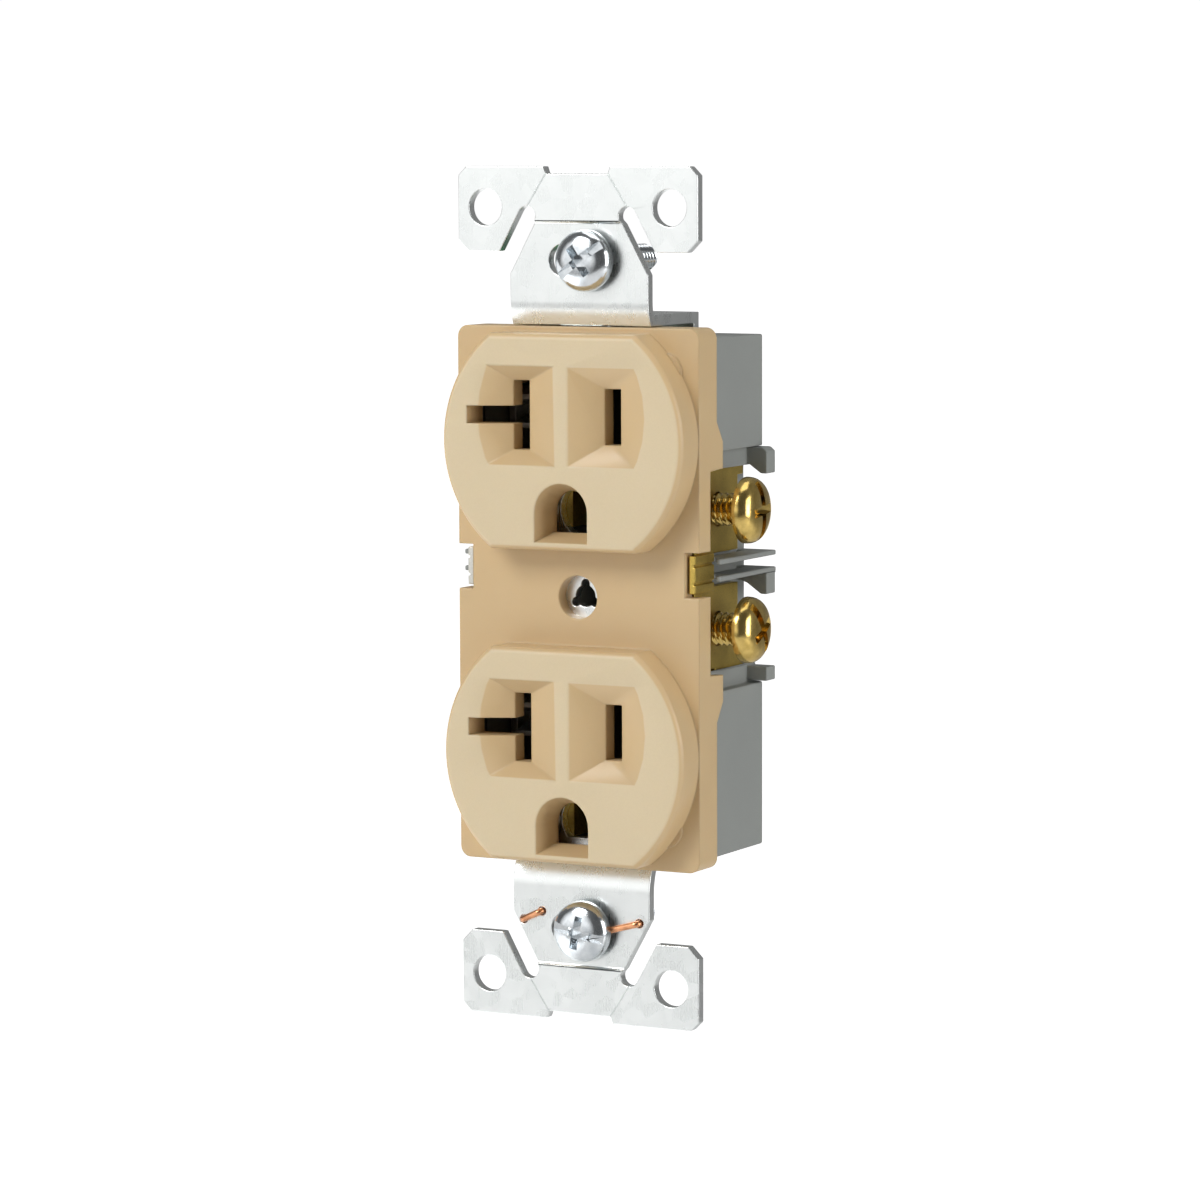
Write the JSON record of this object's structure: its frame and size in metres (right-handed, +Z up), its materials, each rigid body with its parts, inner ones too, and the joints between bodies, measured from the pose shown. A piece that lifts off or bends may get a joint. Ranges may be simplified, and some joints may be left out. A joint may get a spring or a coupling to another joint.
{
  "type": "duplex wall receptacle",
  "caption": "Duplex wall outlet with T-slot faces, side wiring screws, a stamped steel mounting strap with plaster ears and an automatic grounding clip.",
  "frame": {"origin": "mouth of the wall-plate screw hole, on the front plane of the cover's flange and of the strap's ears", "axes": "+X to the right seen from the room (the hot, brass-screw side), +Y into the wall, +Z up with the ground openings down"},
  "size_m": [0.0416, 0.0241, 0.1064],
  "materials": {
    "ivory_cover": "smooth satin moulded thermoplastic",
    "grey_body": "fine matt moulded thermoplastic",
    "galvanised_steel": "bright zinc-coated sheet steel",
    "strip_brass": "rolled brass strip, lightly tarnished",
    "nickel_brass": "nickel-plated brass",
    "copper_wire": "bare copper wire",
    "brass_screw": "bright brass-plated screw",
    "zinc_screw": "bright zinc-plated steel screw",
    "green_screw": "green-dyed zinc plating",
    "fibre_washer": "dark fibre board"
  },
  "bodies": {
    "receptacle": {"front_cover": "ivory_cover", "rear_body": "grey_body", "mounting_strap": "galvanised_steel", "hot_terminal_strip": "strip_brass", "neutral_terminal_strip": "nickel_brass", "hot_contact_upper": "strip_brass", "hot_contact_lower": "strip_brass", "neutral_contact_upper": "nickel_brass", "neutral_contact_lower": "nickel_brass", "hot_contact_rivets": "strip_brass", "neutral_contact_rivets": "nickel_brass", "ground_contact_upper": "strip_brass", "ground_contact_lower": "strip_brass", "ground_contact_rivets": "nickel_brass", "auto_ground_clip": "copper_wire", "assembly_screws": "zinc_screw"},
    "upper_box_screw": {"upper_box_screw": "zinc_screw"},
    "lower_box_screw": {"lower_box_screw": "zinc_screw"},
    "upper_screw_retainer": {"upper_screw_retainer": "fibre_washer"},
    "lower_screw_retainer": {"lower_screw_retainer": "fibre_washer"},
    "hot_screw_upper": {"hot_screw_upper": "brass_screw"},
    "hot_screw_lower": {"hot_screw_lower": "brass_screw"},
    "neutral_screw_upper": {"neutral_screw_upper": "zinc_screw"},
    "neutral_screw_lower": {"neutral_screw_lower": "zinc_screw"},
    "ground_screw": {"ground_screw": "green_screw"}
  },
  "joints": [
    {"name": "upper_retainer_slide", "type": "slide", "parent": "receptacle", "child": "upper_screw_retainer", "axis": [0, 1, 0], "range_m": [-0.0014, 0.0009]},
    {"name": "upper_box_screw_turn", "type": "hinge", "parent": "upper_screw_retainer", "child": "upper_box_screw", "pos_m": [0.0015, 0.008, 0.04167], "axis": [0, 1, 0], "continuous": true},
    {"name": "lower_retainer_slide", "type": "slide", "parent": "receptacle", "child": "lower_screw_retainer", "axis": [0, 1, 0], "range_m": [-0.0014, 0.00005]},
    {"name": "lower_box_screw_turn", "type": "hinge", "parent": "lower_screw_retainer", "child": "lower_box_screw", "pos_m": [0.0009, 0.008, -0.04167], "axis": [0, 1, 0], "continuous": true},
    {"name": "hot_screw_upper_travel", "type": "slide", "parent": "receptacle", "child": "hot_screw_upper", "axis": [1, 0, 0], "range_m": [-0.00375, 0]},
    {"name": "hot_screw_lower_travel", "type": "slide", "parent": "receptacle", "child": "hot_screw_lower", "axis": [1, 0, 0], "range_m": [-0.00375, 0]},
    {"name": "neutral_screw_upper_travel", "type": "slide", "parent": "receptacle", "child": "neutral_screw_upper", "axis": [-1, 0, 0], "range_m": [-0.00375, 0]},
    {"name": "neutral_screw_lower_travel", "type": "slide", "parent": "receptacle", "child": "neutral_screw_lower", "axis": [-1, 0, 0], "range_m": [-0.00375, 0]},
    {"name": "ground_screw_travel", "type": "slide", "parent": "receptacle", "child": "ground_screw", "axis": [0, 0, 1], "range_m": [-0.00235, 0]}
  ]
}
